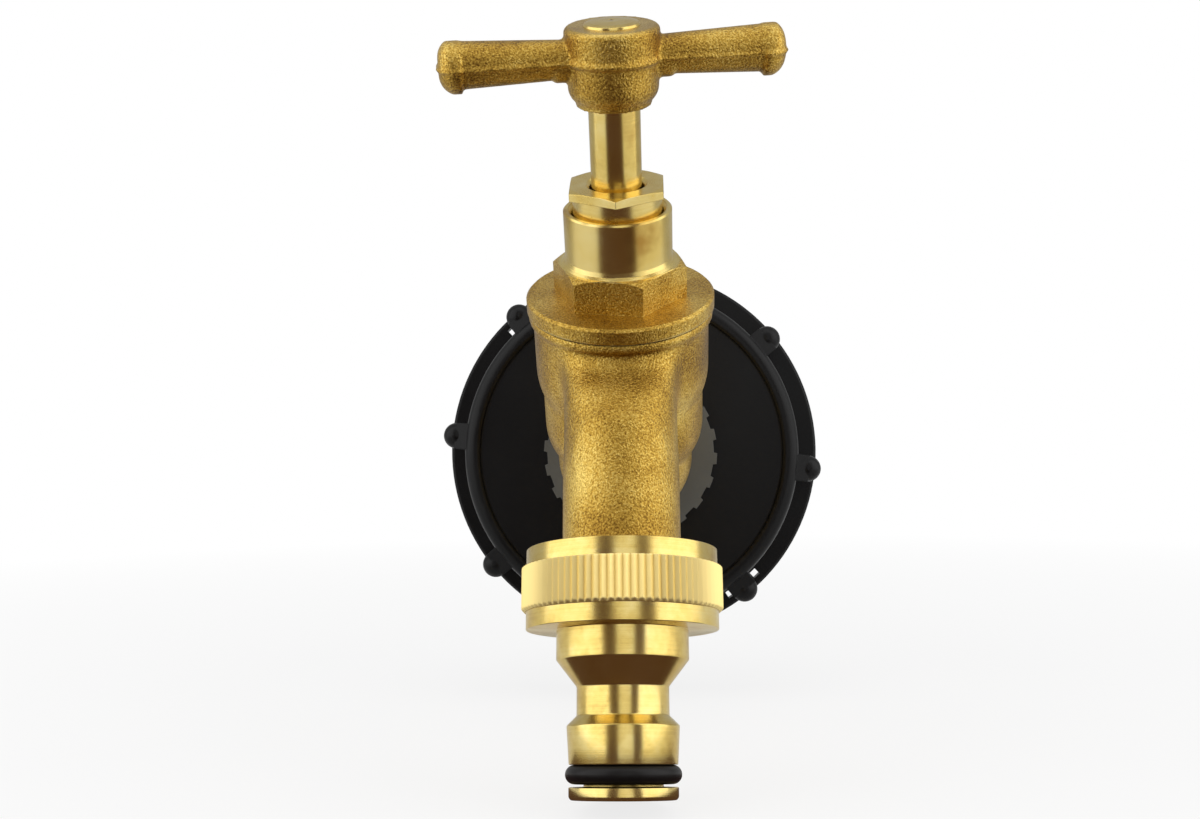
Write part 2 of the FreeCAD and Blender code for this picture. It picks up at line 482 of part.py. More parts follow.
# ---- tee handle: hub and two arms of pointed-oval section --------------------------
def section(at, up, down, half, side):
    """Pointed-oval wire across the arm, sharp at the front and the back."""
    x = at * side
    a, b = V(x, -half, 0), V(x, half, 0)
    top = Part.Arc(a, V(x, 0, up), b).toShape()
    low = Part.Arc(b, V(x, 0, -down), a).toShape()
    return Part.Wire([top, low])


def bar(at0, at1, s0, s1, side):
    return Part.makeLoft([section(at0, *s0, side), section(at1, *s1, side)], True, True)


foot_top = (HUB_FOOT_R, SHOULDER + HUB_FOOT_H)
low_top = (HUB_LOW_R, SHOULDER + HUB_FOOT_H + HUB_ROUND)
band_low, band_top = ARM_LEVEL - HUB_BAND_H, ARM_LEVEL + HUB_BAND_H
hub = rev_edges([upright(foot_top, low_top)] + lines([
    low_top, (HUB_LOW_R, band_low - BAND_SLOPE), (HUB_BAND_R, band_low),
    (HUB_BAND_R, band_top), (HUB_TOP_R, band_top + BAND_SLOPE),
    (HUB_TOP_R, HUB_TOP - HUB_EDGE), (HUB_TOP_R - HUB_EDGE, HUB_TOP),
    (0, HUB_TOP), (0, SHOULDER), (HUB_FOOT_R, SHOULDER), foot_top]))
end_r = BULB[1] + BULB_OVER
bullet = rev_edges([upright((end_r - BULB_ROUND, ARM_LENGTH), (end_r, ARM_LENGTH - BULB_ROUND))]
                   + lines([(end_r, ARM_LENGTH - BULB_ROUND), (end_r, 0), (0, 0),
                            (0, ARM_LENGTH), (end_r - BULB_ROUND, ARM_LENGTH)]))
arms = []
for side in (-1, 1):
    arm = bar(ARM_FROM, ARM_TIP_AT, ARM_ROOT, ARM_TIP, side)
    knuckle = bar(ARM_FROM, KNUCKLE_AT, KNUCKLE, KNUCKLE, side)
    tip = bar(BULB_AT, ARM_LENGTH + 1, BULB, BULB, side)
    nose = bullet.copy()
    nose.rotate(V(0, 0, 0), V(0, 1, 0), 90 * side)
    one = arm.fuse([knuckle, tip.common(nose)])
    one.translate(V(0, 0, ARM_LEVEL))
    arms.append(one)
handle = hub.fuse(arms).removeSplitter()
handle.rotate(V(0, 0, 0), V(0, 0, 1), HANDLE_TURN)
handle = handle.cut(prism(4, SQUARE_AF + 2 * SQUARE_GAP, SHOULDER - 1, HUB_TOP + 1,
                          HANDLE_TURN))
save("tee_handle", on_head(handle))

# ---- hose connector: socket, knurled ring, neck, waist, collar, groove and end ---------
z = CONN_FLOOR - CONN_SOCKET
outline = [(CONN_BORE_R, z), (CONN_R - CONN_EDGE, z), (CONN_R, z + CONN_EDGE)]
z += KNURL_DROP
outline += [(CONN_R, z), (KNURL_R - KNURL_EDGE, z), (KNURL_R, z + KNURL_EDGE)]
z += KNURL_LENGTH
outline += [(KNURL_R, z), (CONN_R, z)]
z += LOW_RING_T
outline += [(CONN_R, z - CONN_EDGE), (CONN_R - CONN_EDGE, z), (NECK2_R + NECK2_FOOT[0], z),
            (NECK2_R, z + NECK2_FOOT[1])]
z += NECK2_LENGTH
outline += [(NECK2_R, z), (WAIST_R, z + WAIST_CONE)]
z += WAIST_CONE + WAIST_LENGTH
outline += [(WAIST_R, z), (COLLAR_R, z + COLLAR_CONE)]
groove_top = z + COLLAR_CONE + COLLAR_LENGTH
groove_low = groove_top + GROOVE_W
outline += [(COLLAR_R - COLLAR_DRAFT, groove_top), (GROOVE_R, groove_top),
            (GROOVE_R, groove_low), (END_R, groove_low)]
end = groove_low + END_T
end_side, end_face = (END_R, end - END_ROUND), (END_R - END_ROUND, end)
connector = rev_edges(lines(outline + [end_side]) + [upright(end_face, end_side)] + lines([
    end_face, (NIPPLE_BORE_R, end), (NIPPLE_BORE_R, CONN_FLOOR), (CONN_BORE_R, CONN_FLOOR),
    (CONN_BORE_R, CONN_FLOOR - CONN_SOCKET)]))
save("hose_connector", on_spout(connector))
save("connector_washer", on_spout(ring(CONN_BORE_R - CWASHER_GAP, TUBE_BORE_R + CWASHER_OVER,
                                       OUTLET_END, CONN_FLOOR)))

# ---- O-ring, lying against the collar's side of the nipple's groove ---------------------
save("nipple_o_ring", on_spout(Part.makeTorus(GROOVE_R + ORING_R, ORING_R,
                                              V(0, 0, groove_top + ORING_R))))
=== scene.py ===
import bpy, bmesh, json, math
from mathutils import Matrix, Vector


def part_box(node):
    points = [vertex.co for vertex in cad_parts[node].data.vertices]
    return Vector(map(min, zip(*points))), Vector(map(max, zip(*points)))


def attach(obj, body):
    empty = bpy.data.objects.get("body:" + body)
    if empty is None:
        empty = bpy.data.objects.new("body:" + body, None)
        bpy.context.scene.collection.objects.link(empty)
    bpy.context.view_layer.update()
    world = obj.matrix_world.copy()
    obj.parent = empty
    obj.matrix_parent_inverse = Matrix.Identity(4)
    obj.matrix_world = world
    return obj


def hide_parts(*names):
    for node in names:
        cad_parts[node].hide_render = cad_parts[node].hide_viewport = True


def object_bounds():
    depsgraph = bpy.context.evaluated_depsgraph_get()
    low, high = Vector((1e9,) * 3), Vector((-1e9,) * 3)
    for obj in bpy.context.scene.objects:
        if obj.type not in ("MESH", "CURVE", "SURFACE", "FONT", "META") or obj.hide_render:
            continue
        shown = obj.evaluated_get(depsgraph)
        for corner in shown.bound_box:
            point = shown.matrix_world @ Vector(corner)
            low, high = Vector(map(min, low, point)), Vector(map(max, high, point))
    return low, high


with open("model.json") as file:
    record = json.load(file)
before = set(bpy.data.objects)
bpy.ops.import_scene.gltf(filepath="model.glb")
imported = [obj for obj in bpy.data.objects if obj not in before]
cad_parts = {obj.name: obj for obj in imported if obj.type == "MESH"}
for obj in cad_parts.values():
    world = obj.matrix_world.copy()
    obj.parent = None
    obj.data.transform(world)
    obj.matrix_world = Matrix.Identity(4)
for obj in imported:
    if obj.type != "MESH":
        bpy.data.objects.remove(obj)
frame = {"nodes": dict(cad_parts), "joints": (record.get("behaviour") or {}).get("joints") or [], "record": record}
cad_box = [list(corner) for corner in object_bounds()]

# ---- Tank cap ----------------------------------------------------------------
# A moulded polyethylene cap with eight rod grips and a coarse buttress thread.
# The plastic is black with a satin moulded skin, a little rougher on its flats.


def make(tree, kind, inputs=None, **settings):
    """Adds a shader node, sets its options, and links or fills its inputs."""
    node = tree.nodes.new("ShaderNode" + kind)
    for name, value in settings.items():
        setattr(node, name, value)
    for name, value in (inputs or {}).items():
        if isinstance(value, bpy.types.NodeSocket):
            tree.links.new(value, node.inputs[name])
        else:
            node.inputs[name].default_value = value
    return node


def calc(tree, operation, a, b=0.0, c=0.0):
    """One Math node; a, b and c are sockets or numbers."""
    node = tree.nodes.new("ShaderNodeMath")
    node.operation = operation
    for socket, value in zip(node.inputs, (a, b, c)):
        if isinstance(value, bpy.types.NodeSocket):
            tree.links.new(value, socket)
        else:
            socket.default_value = value
    return node.outputs[0]


def noise(tree, vector, scale, detail=2.0, rough=0.5):
    """Noise from 0 to 1 on the given coordinates."""
    return make(tree, "TexNoise", {"Vector": vector, "Scale": scale, "Detail": detail,
                                   "Roughness": rough}).outputs["Fac"]


def ramp(tree, fac, stops):
    """Colours along a value, as (position, (r, g, b)) stops."""
    node = make(tree, "ValToRGB", {"Fac": fac})
    band = node.color_ramp
    while len(band.elements) < len(stops):
        band.elements.new(0.5)
    for element, (at, colour) in zip(band.elements, stops):
        element.position = at
        element.color = (*colour, 1.0)
    return node.outputs["Color"]


def spread(tree, value, low, high, to_low=0.0, to_high=1.0):
    """The value's stretch from low to high, made to run from to_low to to_high."""
    return make(tree, "MapRange", {"Value": value, "From Min": low, "From Max": high,
                                   "To Min": to_low, "To Max": to_high}).outputs["Result"]


def new_material(name):
    """An empty material, its tree and its Object coordinates."""
    material = bpy.data.materials.new(name)
    material.use_nodes = True
    tree = material.node_tree
    tree.nodes.clear()
    return material, tree, make(tree, "TexCoord").outputs["Object"]


def surface(tree, inputs):
    """The Principled surface that ends a material."""
    shader = make(tree, "BsdfPrincipled", inputs)
    make(tree, "OutputMaterial", {"Surface": shader.outputs["BSDF"]})


def bumped(tree, height, distance, strength=1.0, edge=0.0):
    """A bumped normal, on edges rounded by the given radius."""
    inputs = {"Height": height, "Distance": distance, "Strength": strength}
    if edge:
        inputs["Normal"] = make(tree, "Bevel", {"Radius": edge}, samples=4).outputs["Normal"]
    return make(tree, "Bump", inputs).outputs["Normal"]


def moulded(name, colour, rough, grain, edge, specular=0.5):
    """Moulded plastic or rubber: even colour, faint mottle and a fine grain."""
    material, tree, at = new_material(name)
    mottle = noise(tree, at, 90.0, 3.0)
    skin = noise(tree, at, 2600.0, 2.0)
    pale = tuple(min(1.0, c * 1.25) for c in colour)
    surface(tree, {
        "Base Color": ramp(tree, mottle, [(0.3, colour), (0.75, pale)]),
        "Roughness": spread(tree, mottle, 0.3, 0.7, rough - 0.05, rough + 0.05),
        "Specular IOR Level": specular,
        "Normal": bumped(tree, skin, grain, 0.6, edge)})
    return material


def dress(node, material):
    """Gives every slot of a CAD node the material."""
    for slot in frame["nodes"][node].material_slots:
        slot.material = material


CAP_BLACK = (0.0022, 0.0021, 0.0022)
black_plastic = moulded("black_polyethylene", CAP_BLACK, 0.34, 0.00003, 0.0004, 0.22)
dress("ibc_cap", black_plastic)

# ---- Cap thread ----------------------------------------------------------------
# The buttress thread runs one and two thirds turns inside the skirt, at 6 mm a turn.
# It is moulded in one with the cap and fades into the wall at both ends.
THREAD_PITCH, THREAD_DEPTH, THREAD_TURNS = 0.006, 0.002, 1.65
THREAD_FOOT, THREAD_CREST, THREAD_START = 0.0034, 0.0014, 0.0005
THREAD_SINK, THREAD_BACK, THREAD_FADE, STEPS_A_TURN = 0.0002, 0.0003, 24, 96
THREAD_LEAST = 0.02                     # share of the depth left where it starts


def add_piece(name, bm, material, body, smooth=35.0):
    """Makes an object of the bmesh, smooth but for its sharp edges, on a body."""
    bmesh.ops.recalc_face_normals(bm, faces=bm.faces)
    mesh = bpy.data.meshes.new(name)
    bm.to_mesh(mesh)
    bm.free()
    mesh.shade_smooth()
    mesh.set_sharp_from_angle(angle=math.radians(smooth))
    mesh.materials.append(material)
    piece = bpy.data.objects.new(name, mesh)
    bpy.context.scene.collection.objects.link(piece)
    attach(piece, body)
    return piece


socket = next(m for m in frame["record"]["mounts"] if m["name"] == "ibc_socket")
wall_r = socket["dims"]["r_mm"] / 1000
bm = bmesh.new()
steps = round(STEPS_A_TURN * THREAD_TURNS)
crest_r, crest_top = wall_r - THREAD_DEPTH, THREAD_FOOT - THREAD_BACK
section = [(wall_r + THREAD_SINK, 0.0), (crest_r, crest_top - THREAD_CREST),
           (crest_r, crest_top), (wall_r + THREAD_SINK, THREAD_FOOT)]
ring = [bm.verts.new((r, -THREAD_START - z, 0.0)) for r, z in section]
face = bm.faces.new(ring)
bmesh.ops.spin(bm, geom=[face, *face.edges, *ring], cent=(0, 0, 0), axis=(0, 1, 0),
               dvec=(0, -THREAD_PITCH / STEPS_A_TURN, 0),
               angle=math.tau * THREAD_TURNS, steps=steps)
bmesh.ops.holes_fill(bm, edges=[e for e in bm.edges if e.is_boundary], sides=4)
for vert in bm.verts:
    along = (-vert.co.y - THREAD_START) / THREAD_PITCH * STEPS_A_TURN
    # steps from the nearer end, taken at the foot of the section
    near = min(along, steps + THREAD_FOOT / THREAD_PITCH * STEPS_A_TURN - along)
    radius = math.hypot(vert.co.x, vert.co.z)
    if radius < wall_r:
        sunk = wall_r - (wall_r - radius) * min(1.0, max(THREAD_LEAST, near / THREAD_FADE))
        vert.co.x, vert.co.z = vert.co.x * sunk / radius, vert.co.z * sunk / radius
add_piece("cap_thread", bm, black_plastic, "tap")

# ---- Sealing ring and tail parts inside the cap -----------------------------------
# A black rubber ring lies at the bottom of the thread, against the tank's neck.
# The tap's tail comes through the wall with a rubber seal and a brass backnut.
rubber = moulded("black_rubber", (0.012, 0.0105, 0.010), 0.55, 0.00002, 0.0002, 0.4)
dress("cap_gasket", rubber)
dress("tail_seal", rubber)

BRASS, BRASS_PALE, BRASS_STAIN = (0.80, 0.59, 0.17), (0.90, 0.73, 0.30), (0.50, 0.29, 0.065)
KNURL_BRASS, KNURL_ROUGH = (0.93, 0.75, 0.31, 1.0), 0.5
CUTS, CUT_DEPTH = 5200.0, 0.000010      # turning marks to the metre, and their depth


def along_line(tree, at, place, turn):
    """Coordinates along a turned piece's own line, its height on Z."""
    return make(tree, "Mapping", {"Vector": at, "Location": place, "Rotation": turn},
                vector_type="TEXTURE").outputs["Vector"]


def rings(tree, local, scale=CUTS):
    """The turning marks: noise that changes with radius and height only."""
    apart = make(tree, "SeparateXYZ", {"Vector": local})
    flat = make(tree, "VectorMath", {0: local, 1: (1.0, 1.0, 0.0)}, operation="MULTIPLY")
    radius = make(tree, "VectorMath", {0: flat.outputs["Vector"]}, operation="LENGTH")
    place = make(tree, "CombineXYZ", {"X": radius.outputs["Value"],
                                      "Z": apart.outputs["Z"]}).outputs["Vector"]
    return (noise(tree, place, scale, 3.0, 0.7), radius.outputs["Value"],
            apart.outputs["Z"])


def mixed(tree, fac, a, b, kind="FLOAT"):
    """a where fac is 0 and b where it is 1, as numbers or colours."""
    node = tree.nodes.new("ShaderNodeMix")
    node.data_type = kind
    first = {"FLOAT": 2, "RGBA": 6}[kind]
    for socket, value in ((node.inputs[0], fac), (node.inputs[first], a),
                          (node.inputs[first + 1], b)):
        if isinstance(value, bpy.types.NodeSocket):
            tree.links.new(value, socket)
        else:
            socket.default_value = value
    return node.outputs[{"FLOAT": 0, "RGBA": 2}[kind]]


def turned(name, place, turn, rough=0.17, stain=0.35, edge=0.00012, marks=1.0, knurl_r=1.0):
    """Brass off the lathe: fine rings, light stains, bright edges, a pale dull knurl."""
    material, tree, at = new_material(name)
    local = along_line(tree, at, place, turn)
    cuts, radius, _ = rings(tree, local)
    cloud = noise(tree, at, 170.0, 4.0, 0.65)
    tone = calc(tree, "MULTIPLY_ADD", cuts, 0.25, calc(tree, "MULTIPLY", cloud, 0.75))
    knurl = spread(tree, radius, knurl_r, knurl_r + 0.00005)
    skin = ramp(tree, tone, [(0.5 - stain, BRASS_STAIN), (0.46, BRASS), (0.66, BRASS_PALE)])
    surface(tree, {
        "Base Color": mixed(tree, knurl, skin, KNURL_BRASS, "RGBA"),
        "Metallic": 1.0,
        "Roughness": mixed(tree, knurl, spread(tree, tone, 0.3, 0.7, rough + 0.07, rough - 0.03),
                           KNURL_ROUGH),
        "Normal": bumped(tree, cuts, CUT_DEPTH * marks, 0.5, edge)})
    return material


INLET_TURN = (math.pi / 2, 0.0, 0.0)
INLET = (0.0, 0.0, 0.0)
dress("backnut", turned("backnut_brass", INLET, INLET_TURN, 0.26))

# ---- Serrated ring in front of the cap ------------------------------------------------
# A grey moulded washer whose teeth let the fingers hold it while the tap is turned.
# It is clamped between the cap's face and the tap's boss.
dress("front_ring", moulded("grey_polyamide", (0.088, 0.088, 0.080), 0.5, 0.00003, 0.0002, 0.3))

# ---- Tap body --------------------------------------------------------------------------
# Hot-pressed brass, shot-blasted all over to a fine bright grain, with painted shade in the groove at the bonnet's
# joint.
# The pipe threads at the tail and the outlet are cut afterwards and stay bright.


def line_of(lift, pivot):
    """Where a joint's line crosses the inlet's level, and its turn about X."""
    axis, point = Vector(lift["axis"]), Vector(pivot["pos_m"])
    crossing = point - axis * (point.z / axis.z)
    return tuple(crossing), (math.atan2(-axis.y, axis.z), 0.0, 0.0)


inlet_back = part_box("front_ring")[0][1]
joints = {joint["name"]: joint for joint in frame["joints"]}
HEAD, HEAD_TURN = line_of(joints["valve_lift"], joints["spindle_turn"])
SPOUT, SPOUT_TURN = line_of(joints["connector_travel"], joints["connector_turn"])
CAST, CAST_PALE, CAST_DARK = (0.53, 0.32, 0.052), (0.95, 0.71, 0.20), (0.15, 0.070, 0.012)
PIPE_PITCH, PIPE_DEPTH = 0.001814, 0.0006      # half inch pipe thread
TAIL_CUT, OUTLET_CUT = (0.010, 0.0239), (0.0152, 0.030)    # threaded lengths on their lines
# Painted shade: a near-black, dull line where the groove at the bonnet's joint lies in shadow.
JOINT_SHADE_BAND, JOINT_SOFT = (0.02715, 0.0276), 0.0001        # the dark line under the flange
PAINTED_CREVICE_SHADE = (0.035, 0.018, 0.005, 1.0)
MACHINED_ROUGH = 0.23


def pipe_thread(tree, local, height):
    """The height of a cut pipe thread's flanks, a helix on the local Z."""
    apart = make(tree, "SeparateXYZ", {"Vector": local})
    angle = calc(tree, "ARCTAN2", apart.outputs["Y"], apart.outputs["X"])
    turns = calc(tree, "MULTIPLY_ADD", height, 1.0 / PIPE_PITCH,
                 calc(tree, "MULTIPLY", angle, 1.0 / math.tau))
    return calc(tree, "MULTIPLY", calc(tree, "PINGPONG", turns, 0.5), 2.0 * PIPE_DEPTH)


def within(tree, value, low, high, soft=0.00005):
    """1 where the value lies between the limits, with soft ends."""
    return calc(tree, "MULTIPLY", spread(tree, value, low - soft, low + soft),
                spread(tree, value, high + soft, high - soft))


def either(tree, a, b):
    """The larger of two masks."""
    return calc(tree, "MAXIMUM", a, b)


def blasted(name, machined, edge=0.0002, rough=0.27, grain=0.00017):
    """Shot-blasted brass; machined gives its bright cut parts, their heights and its mask of painted crevice
    shade.
    """
    material, tree, at = new_material(name)
    peen = noise(tree, at, 3600.0, 2.0, 0.55)
    cloud = noise(tree, at, 90.0, 4.0)
    cut, marks, crevice_shade = machined(tree, at)
    tone = calc(tree, "MULTIPLY_ADD", peen, 0.55, calc(tree, "MULTIPLY", cloud, 0.45))
    cast = ramp(tree, tone, [(0.34, CAST_DARK), (0.50, CAST), (0.68, CAST_PALE)])
    bright = ramp(tree, cloud, [(0.34, BRASS_STAIN), (0.46, BRASS), (0.66, BRASS_PALE)])
    clean = mixed(tree, cut, cast, bright, "RGBA")
    # Where the crevice mask is 1 the colour is painted shade, near black and not metallic.
    surface(tree, {
        "Base Color": mixed(tree, crevice_shade, clean, PAINTED_CREVICE_SHADE, "RGBA"),
        "Metallic": mixed(tree, crevice_shade, 1.0, 0.0),
        "Roughness": mixed(tree, cut, spread(tree, peen, 0.3, 0.7, rough + 0.1, rough),
                           MACHINED_ROUGH),
        "Normal": bumped(tree, mixed(tree, cut, calc(tree, "MULTIPLY", peen, grain), marks),
                         1.0, 1.0, edge)})
    return material


def body_cuts(tree, at):
    """The tail's thread, the outlet's thread and the painted shade in the groove at the bonnet's joint."""
    tail = along_line(tree, at, INLET, INLET_TURN)
    out = along_line(tree, at, SPOUT, SPOUT_TURN)
    head = along_line(tree, at, HEAD, HEAD_TURN)
    tail_z, out_z, head_z = (make(tree, "SeparateXYZ", {"Vector": line}).outputs["Z"]
                             for line in (tail, out, head))
    on_out = within(tree, out_z, *OUTLET_CUT)
    thread = mixed(tree, on_out, pipe_thread(tree, tail, tail_z), pipe_thread(tree, out, out_z))
    return (either(tree, within(tree, tail_z, *TAIL_CUT), on_out), thread,
            within(tree, head_z, *JOINT_SHADE_BAND, JOINT_SOFT))


body_brass = blasted("blasted_brass_body", body_cuts)
dress("tap_body", body_brass)

# The pressing's skin: the same body with its corners and its spout's root run together,
# as the die and the shot leave them. The seats and threads keep their edges.
VOXEL, SKIN_PASSES, ROOT_PASSES = 0.00038, 1, 130
CHAMBER_IN, CHAMBER_LOW, SPOUT_IN, INLET_IN, PORT_IN = 0.0128, 0.0085, 0.0065, 0.0070, 0.0062
SPOUT_START, OUTLET_EDGE, SEAT_EDGE = -0.006, 0.0145, 0.0005
ROOT_FRONT, ROOT_LOW, ROOT_FADE, LIP_FADE, SIDE_FADE = 0.010, 0.010, 0.006, 0.0006, 0.004


def remeshed(node, voxel):
    """A bmesh of an even skin over a CAD node."""
    bm = bmesh.new()
    bm.from_mesh(frame["nodes"][node].data)
    bmesh.ops.remove_doubles(bm, verts=bm.verts, dist=1e-6)
    mesh = bpy.data.meshes.new(node + "_merged")
    bm.to_mesh(mesh)
    bm.free()
    rough = bpy.data.objects.new(node + "_merged", mesh)
    bpy.context.scene.collection.objects.link(rough)
    remesh = rough.modifiers.new("skin", "REMESH")
    remesh.mode, remesh.voxel_size = "VOXEL", voxel
    graph = bpy.context.evaluated_depsgraph_get()
    skin = bmesh.new()
    skin.from_object(rough, graph)
    bpy.data.objects.remove(rough)
    return skin


def local_place(place, turn):
    """World to a line's own frame, with its height on Z."""
    return (Matrix.Translation(place) @ Matrix.Rotation(turn[0], 4, "X")).inverted()


def radius_of(point):
    """How far a local point is from its line."""
    return math.hypot(point.x, point.y)


to_head, to_outlet = local_place(HEAD, HEAD_TURN), local_place(SPOUT, SPOUT_TURN)
from_head = to_head.inverted()
ROOT_W, LIP_FOOT, LIP_TOP, LIP_ROLL = 0.0112, 0.0254, 0.0273, 0.0003
bm = remeshed("tap_body", VOXEL)
skin, root, lip = [], [], []
for vert in bm.verts:
    on_head, on_outlet = to_head @ vert.co, to_outlet @ vert.co
    inside = (radius_of(on_head) < CHAMBER_IN and on_head.z > CHAMBER_LOW
              or radius_of(on_outlet) < SPOUT_IN and on_outlet.z > SPOUT_START
              or radius_of(on_head) < PORT_IN
              or math.hypot(vert.co.x, vert.co.z) < INLET_IN
              or on_outlet.z > OUTLET_EDGE or vert.co.y > inlet_back - SEAT_EDGE)
    if inside:
        continue
    skin.append(vert)
    in_front = abs(vert.co.x) < ROOT_W and vert.co.y < HEAD[1] - ROOT_FRONT
    if in_front and ROOT_LOW < on_head.z < LIP_FOOT:
        nearness = min((on_head.z - ROOT_LOW) / ROOT_FADE, (LIP_FOOT - on_head.z) / LIP_FADE,
                       (ROOT_W - abs(vert.co.x)) / SIDE_FADE, 1.0)
        root.append((vert, nearness * ROOT_PASSES))
    elif LIP_FOOT < on_head.z < LIP_TOP and radius_of(on_head) > CHAMBER_IN:
        up = (on_head.z - LIP_FOOT) / (LIP_TOP - LIP_FOOT)
        out = on_head.xy.normalized() * LIP_ROLL * math.sin(math.pi * up) ** 0.7
        lip.append((vert, from_head.to_3x3() @ out.to_3d()))
for vert, move in lip:
    vert.co += move
for step in range(ROOT_PASSES):
    bmesh.ops.smooth_vert(bm, verts=[vert for vert, passes in root if passes > step],
                          factor=0.5, use_axis_x=True, use_axis_y=True, use_axis_z=True)
for step in range(SKIN_PASSES):
    bmesh.ops.smooth_vert(bm, verts=skin, factor=0.5, use_axis_x=True, use_axis_y=True,
                          use_axis_z=True)
pressing = add_piece("pressed_body", bm, body_brass, "tap", 60.0)
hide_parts("tap_body")

# ---- Bonnet and its washer ----------------------------------------------------------------
# The bonnet screws into the top of the body on a fibre washer. Its flange and hexagon keep
# the blasted skin of the pressing, and its neck and the flange's lower edge are turned.
FLANGE_LOW, HEX_TOP, NECK_SOFT = 0.0274, 0.0352, 0.00008
SCRATCH = (FLANGE_LOW + 0.0001, FLANGE_LOW + 0.00035)
# Painted shade on the flange's lower edge, over the shadowed groove at the joint.
FLANGE_SHADE_BAND = (FLANGE_LOW - 0.0002, FLANGE_LOW + 0.00008)


def bonnet_cuts(tree, at):
    """The turned neck above the hexagon, a scratched line under the flange, and painted shade in the joint's
    groove at the flange's lower edge.
    """
    local = along_line(tree, at, HEAD, HEAD_TURN)
    marks, _, height = rings(tree, local)
    neck = spread(tree, height, HEX_TOP - NECK_SOFT, HEX_TOP + NECK_SOFT)
    broken = spread(tree, noise(tree, at, 260.0, 4.0, 0.7), 0.42, 0.5)
    line = calc(tree, "MULTIPLY", within(tree, height, *SCRATCH), broken)
    return either(tree, neck, line), calc(tree, "MULTIPLY", marks, CUT_DEPTH), within(
        tree, height, *FLANGE_SHADE_BAND)


dress("bonnet", blasted("blasted_brass_bonnet", bonnet_cuts, 0.00015))
dress("bonnet_washer", moulded("red_fibre", (0.20, 0.035, 0.022), 0.7, 0.00004, 0.0001, 0.3))

# ---- Gland: washer, packing and nut ----------------------------------------------------------
# A thin brass hexagon presses a ring of packing round the spindle, over a brass washer.
# Its faces are as rolled, its top and shank are turned.
gland_brass = turned("gland_brass", HEAD, HEAD_TURN, 0.24, 0.42, 0.0002, 2.0)
dress("gland_nut", gland_brass)
dress("packing_washer", gland_brass)
dress("gland_packing", moulded("graphite_yarn", (0.055, 0.052, 0.05), 0.75, 0.00008, 0.0002))

# ---- Valve inside the body ---------------------------------------------------------------------
# A brass jumper carries a rubber washer under its disc, held by a small brass nut.
# It lies hidden in the chamber and lifts with the spindle.
jumper_brass = turned("jumper_brass", HEAD, HEAD_TURN, 0.22)
dress("jumper", jumper_brass)
dress("jumper_nut", jumper_brass)
dress("jumper_washer", rubber)

# ---- Spindle ----------------------------------------------------------------------------------
# Turned brass rod with a screw below, a square under the hub and an end peened over it.
# The peened end keeps a small centre mark from the lathe.
HUB_FACE, MARK_R, MARK_DEPTH = 0.0709, 0.0002, 0.0003
# The centre mark's dark colour is painted shade inside its small pit.
MARK_PIT_PAINTED_SHADE, SPINDLE_CUTS = (0.10, 0.06, 0.015, 1.0), 0.000012


def spindle_finish():
    """Turned brass with the centre mark in its peened end, its pit darkened by painted shade."""
    material, tree, at = new_material("spindle_brass")
    local = along_line(tree, at, HEAD, HEAD_TURN)
    cuts, radius, height = rings(tree, local)
    cloud = noise(tree, at, 150.0, 4.0, 0.65)
    centre = calc(tree, "MULTIPLY", spread(tree, radius, 2.1 * MARK_R, MARK_R),
                  spread(tree, height, HUB_FACE, HUB_FACE + 0.0001))
    tone = calc(tree, "MULTIPLY_ADD", cuts, 0.3, calc(tree, "MULTIPLY", cloud, 0.7))
    skin = ramp(tree, tone, [(0.22, BRASS_STAIN), (0.45, BRASS), (0.64, BRASS_PALE)])
    dip = calc(tree, "MULTIPLY_ADD", centre, -MARK_DEPTH,
               calc(tree, "MULTIPLY", cuts, SPINDLE_CUTS))
    surface(tree, {"Base Color": mixed(tree, centre, skin, MARK_PIT_PAINTED_SHADE, "RGBA"),
                   "Metallic": 1.0,
                   "Roughness": spread(tree, tone, 0.3, 0.7, 0.25, 0.15),
                   "Normal": bumped(tree, dip, 1.0, 1.0, 0.0002)})
    return material


dress("spindle", spindle_finish())

# ---- Tee handle ----------------------------------------------------------------------------------
# Pressed and shot-blasted brass with a flash line round its middle, not machined outside.
# The hub is held on the spindle's square by the peened end.


ARM_LEVEL, FLASH_HALF, FLASH_OUT, HANDLE_VOXEL = 0.0664, 0.00045, 0.00032, 0.00028
FLASH_FROM_R, FLASH_TO_X = 0.005, 0.037            # clear of the bore and of the arms' tips
FILED, FILED_MARKS, FILED_DEPTH = 0.4, 3000.0, 0.00003
# PEENED_R bounds a ring of painted shade in the crevice between the hub and the spindle's end.
PEENED_R, PEENED_SOFT = (0.0034, 0.0036), 0.0001


def hub_face(tree, at):
    """The hub's top, filed flat round the peened end, with painted shade in the crevice round the spindle at the
    joint.
    """
    marks, radius, height = rings(tree, along_line(tree, at, HEAD, HEAD_TURN),
                                  FILED_MARKS)
    joint = calc(tree, "MULTIPLY", spread(tree, height, HUB_FACE - 0.0005, HUB_FACE - 0.0003),
                 within(tree, radius, *PEENED_R, PEENED_SOFT))
    return (calc(tree, "MULTIPLY", spread(tree, height, HUB_FACE - 0.0004, HUB_FACE), FILED),
            calc(tree, "MULTIPLY", marks, FILED_DEPTH), joint)


handle_brass = blasted("blasted_brass_handle", hub_face, 0.0001)
dress("tee_handle", handle_brass)
bm = remeshed("tee_handle", HANDLE_VOXEL)
bm.normal_update()
pressed = []
for vert in bm.verts:
    on_head = to_head @ vert.co
    off = abs(on_head.z - ARM_LEVEL)
    if off < FLASH_HALF and radius_of(on_head) > FLASH_FROM_R and abs(vert.co.x) < FLASH_TO_X:
        pressed.append((vert, vert.normal * FLASH_OUT * (1.0 - off / FLASH_HALF)))
bmesh.ops.smooth_vert(bm, verts=bm.verts, factor=0.5, use_axis_x=True, use_axis_y=True,
                      use_axis_z=True)
for vert, move in pressed:
    vert.co += move
handle = add_piece("pressed_handle", bm, handle_brass, "spindle_and_tee", 50.0)
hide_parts("tee_handle")

